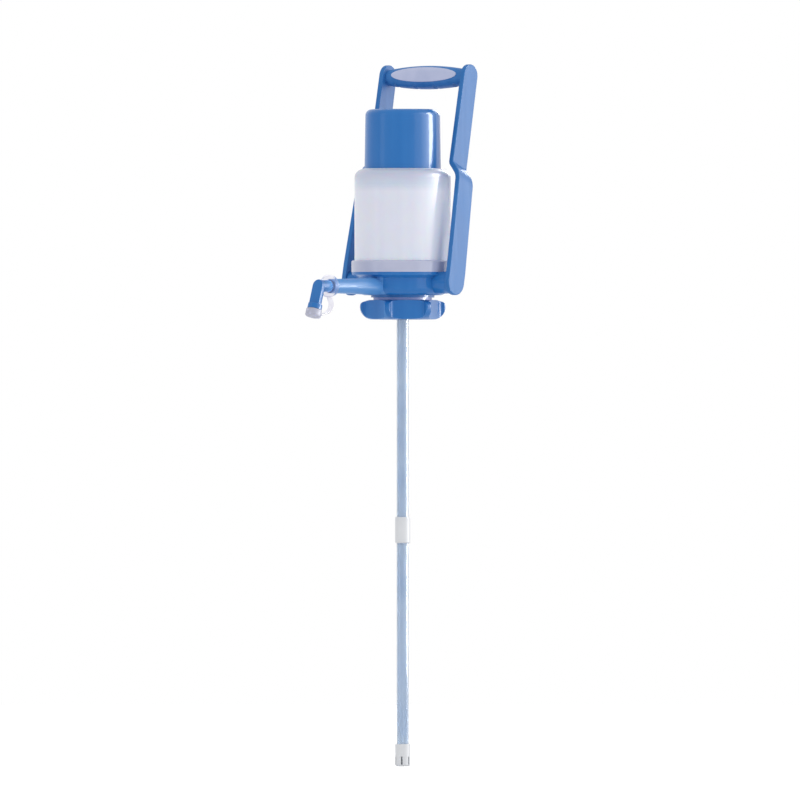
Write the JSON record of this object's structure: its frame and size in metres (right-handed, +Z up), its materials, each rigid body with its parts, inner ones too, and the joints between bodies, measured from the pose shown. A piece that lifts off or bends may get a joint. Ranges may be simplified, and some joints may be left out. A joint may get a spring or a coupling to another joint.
{
  "type": "water jug hand pump",
  "caption": "Press-top hand pump that clamps on a large water bottle's neck, with side spout, dip tube and swinging carry handle.",
  "frame": {"origin": "centre of the bottle's rim, where the neck gasket seats", "axes": "+Z up along the pump, -Y along the spout, +X towards the right handle arm"},
  "size_m": [0.1346, 0.2099, 0.7017],
  "materials": {
    "blue_plastic": "glossy mid blue moulded plastic",
    "handle_blue": "satin blue moulded plastic",
    "milky_plastic": "milky off-white translucent plastic",
    "pale_blue": "pale lavender-blue plastic",
    "grey_plastic": "pale lavender-grey plastic",
    "pad_grey": "soft grey grip pad",
    "clear_soft": "soft milky plastic",
    "clear_film": "soft clear plastic",
    "tube_clear": "stiff clear-blue tube",
    "inner_white": "plain white inner plastic",
    "rubber_dark": "black food-grade rubber",
    "rubber_pale": "pale silicone rubber",
    "steel": "stainless steel"
  },
  "bodies": {
    "pump_body": {"neck_plug": "inner_white", "neck_gasket": "rubber_pale", "neck_collet": "pale_blue", "base_body": "blue_plastic", "base_screws": "steel", "valve_plate": "inner_white", "housing_seal": "rubber_dark", "delivery_valve_spring": "steel", "pump_housing": "milky_plastic", "housing_shoulder": "milky_plastic", "housing_trim_ring": "grey_plastic", "bellows": "rubber_pale", "return_spring": "steel", "riser_elbow": "inner_white", "dip_tube_upper": "tube_clear", "tube_coupling": "inner_white", "dip_tube_lower": "tube_clear", "foot_strainer": "inner_white", "spout_tube": "blue_plastic", "pivot_bushes": "inner_white"},
    "cap": {"press_cap": "blue_plastic", "cap_guide_ring": "inner_white", "intake_valve_seat": "inner_white", "intake_valve_spring": "steel", "cap_screws": "steel"},
    "intake_valve": {"intake_valve_disc": "rubber_dark"},
    "delivery_valve": {"delivery_valve_disc": "rubber_dark"},
    "handle": {"pivot_pins": "steel", "handle_arm_right": "handle_blue", "handle_arm_left": "handle_blue", "handle_grip": "handle_blue", "grip_pad_front": "pad_grey", "grip_pad_rear": "pad_grey"},
    "collar": {"lock_collar": "blue_plastic"},
    "outlet": {"spout_o_ring": "rubber_dark", "tether_ring": "clear_film", "spout_elbow": "blue_plastic", "tether_strap": "clear_film"},
    "outlet_cap": {"spout_cap": "clear_soft"}
  },
  "joints": [
    {"name": "cap_press", "type": "slide", "parent": "pump_body", "child": "cap", "axis": [0, 0, -1], "range_m": [0, 0.045], "stiffness_N_per_m": 300, "springref_m": -0.02, "deforming": ["bellows", "return_spring"]},
    {"name": "intake_valve_lift", "type": "slide", "parent": "cap", "child": "intake_valve", "axis": [0, 0, -1], "range_m": [0, 0.0015], "stiffness_N_per_m": 40, "springref_m": -0.001, "deforming": ["intake_valve_spring"]},
    {"name": "delivery_valve_lift", "type": "slide", "parent": "pump_body", "child": "delivery_valve", "axis": [0, 0, -1], "range_m": [0, 0.0015], "stiffness_N_per_m": 40, "springref_m": -0.001, "deforming": ["delivery_valve_spring"]},
    {"name": "handle_swing", "type": "hinge", "parent": "pump_body", "child": "handle", "pos_m": [0, 0, 0.016], "axis": [-1, 0, 0], "range_deg": [-11.7, 78.3]},
    {"name": "collar_turn", "type": "hinge", "parent": "pump_body", "child": "collar", "pos_m": [0, 0, -0.012], "axis": [0, 0, 1], "range_deg": [0, 30]},
    {"name": "spout_swivel", "type": "hinge", "parent": "pump_body", "child": "outlet", "pos_m": [0, -0.1198, 0.0114], "axis": [0, -1, 0], "range_deg": [-90, 90]},
    {"name": "outlet_cap_pull", "type": "slide", "parent": "outlet", "child": "outlet_cap", "axis": [0, -0.3256, -0.9455], "range_m": [0, 0.014]}
  ]
}
